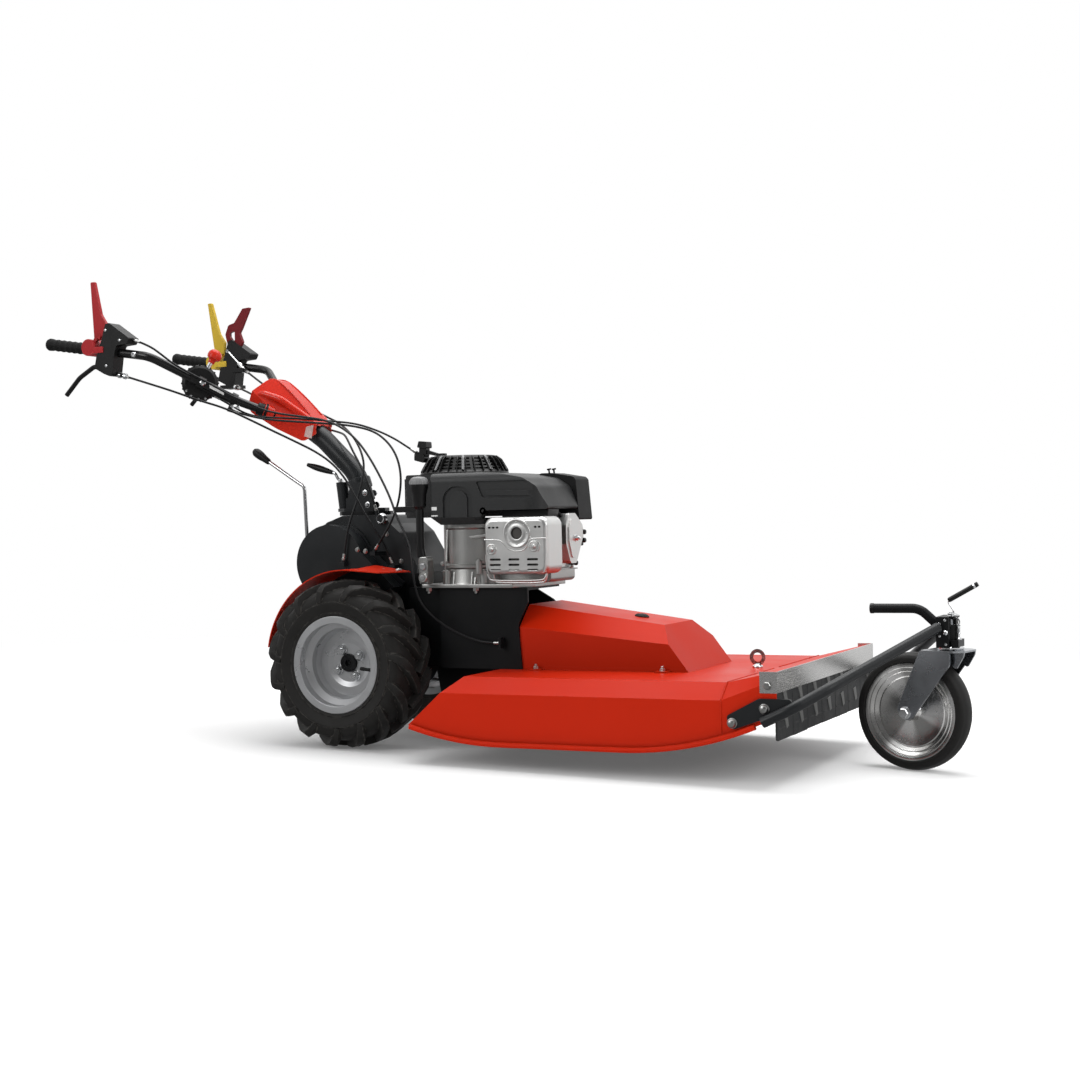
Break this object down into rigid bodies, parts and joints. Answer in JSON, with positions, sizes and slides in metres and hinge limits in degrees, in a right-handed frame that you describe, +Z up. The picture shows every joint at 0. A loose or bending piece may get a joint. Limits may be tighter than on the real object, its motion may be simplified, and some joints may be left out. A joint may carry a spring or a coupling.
{
  "type": "walk-behind rough-cut mower",
  "caption": "Self-propelled rough-cut mower steered on foot: tractor-tyred rear wheels, engine over a low red sheet deck, trailing castor in front and a handlebar that swings aside.",
  "frame": {"origin": "on the ground under the middle of the machine's bounding box", "axes": "+X forward towards the castor, +Y to the operator's left, +Z up; the chassis leans back a little, as it stands on its wheels"},
  "size_m": [2.3385, 0.8036, 1.1492],
  "materials": {
    "red_paint": "gloss powder coat",
    "black_paint": "satin powder coat",
    "graphite_paint": "satin powder coat",
    "rim_paint": "silver paint",
    "cast_aluminium": "as cast",
    "pressed_steel": "bright pressed steel",
    "zinc_steel": "zinc plated",
    "stainless": "brushed",
    "muffler_steel": "heat darkened",
    "tyre_rubber": "matte",
    "castor_rubber": "smooth",
    "flap_rubber": "fabric reinforced",
    "grip_rubber": "matte",
    "black_plastic": "moulded, fine grain",
    "shroud_plastic": "moulded, satin",
    "red_plastic": "moulded, glossy",
    "lever_red": "moulded",
    "lever_yellow": "moulded",
    "lever_dark_red": "moulded",
    "chrome": "polished",
    "cable_black": "smooth sheath"
  },
  "bodies": {
    "chassis": {"air_cleaner": "shroud_plastic", "belt_cover": "red_paint", "cable_blade": "cable_black", "cable_brake_left": "cable_black", "cable_brake_right": "cable_black", "cable_drive": "cable_black", "cable_reverse": "cable_black", "cable_throttle": "cable_black", "castor_arm_left": "graphite_paint", "castor_arm_right": "graphite_paint", "castor_head": "black_paint", "castor_lock": "black_plastic", "cover_cap": "black_plastic", "deck_shell": "red_paint", "drive_housing": "graphite_paint", "engine_crankcase": "cast_aluminium", "engine_shroud": "shroud_plastic", "engine_support": "black_paint", "fender_left": "red_paint", "fender_right": "red_paint", "front_plate": "stainless", "fuel_tank": "black_plastic", "gear_lever": "chrome", "gearbox": "black_paint", "lifting_eye": "zinc_steel", "muffler": "muffler_steel", "muffler_guard": "pressed_steel", "oil_filler": "black_plastic", "pulley_cover": "graphite_paint", "rear_axle": "black_paint", "recoil_starter": "black_plastic", "rubber_flaps": "flap_rubber", "skid_rails": "red_paint", "spindle_housing": "black_paint", "starter_grip": "black_plastic", "turret": "black_paint", "valve_cover": "pressed_steel"},
    "wheel_right": {"tyre_right": "tyre_rubber", "rim_right": "rim_paint", "hub_right": "black_paint"},
    "wheel_left": {"tyre_left": "tyre_rubber", "rim_left": "rim_paint", "hub_left": "black_paint"},
    "castor_fork": {"castor_fork": "zinc_steel"},
    "castor_wheel": {"castor_tyre": "castor_rubber", "castor_disc": "zinc_steel"},
    "rotor": {"rotor": "black_paint"},
    "handlebar": {"mast": "graphite_paint", "mast_bracket": "graphite_paint", "swing_lock": "black_plastic", "handlebar_right": "black_paint", "handlebar_left": "black_paint", "grips": "grip_rubber", "console_cover": "red_plastic", "lever_mounts": "black_plastic", "clutch_lever_right": "lever_red", "clutch_lever_left": "lever_yellow", "brake_levers": "black_plastic", "dead_man_lever": "lever_dark_red", "throttle_quadrant": "black_plastic"}
  },
  "joints": [
    {"name": "wheel_right_spin", "type": "hinge", "parent": "chassis", "child": "wheel_right", "pos_m": [-0.28, -0.2205, 0.202], "axis": [0, 1, 0], "continuous": true},
    {"name": "wheel_left_spin", "type": "hinge", "parent": "chassis", "child": "wheel_left", "pos_m": [-0.28, 0.2205, 0.202], "axis": [0, 1, 0], "continuous": true},
    {"name": "castor_swivel", "type": "hinge", "parent": "chassis", "child": "castor_fork", "pos_m": [1.11028, 0, 0.2862], "axis": [-0.026, 0, 0.9997], "continuous": true},
    {"name": "castor_spin", "type": "hinge", "parent": "castor_fork", "child": "castor_wheel", "pos_m": [1.0276, 0.02002, 0.13], "axis": [0.2249, 0.9744, 0.0059], "continuous": true},
    {"name": "rotor_spin", "type": "hinge", "parent": "chassis", "child": "rotor", "pos_m": [0.37743, 0, 0.11708], "axis": [-0.026, 0, 0.9997], "continuous": true},
    {"name": "handlebar_swing", "type": "hinge", "parent": "chassis", "child": "handlebar", "pos_m": [-0.36944, 0, 0.5638], "axis": [-0.026, 0, 0.9997], "range_deg": [-20, 20], "deforming": ["cable_throttle", "cable_drive", "cable_blade", "cable_reverse", "cable_brake_left", "cable_brake_right"]}
  ]
}
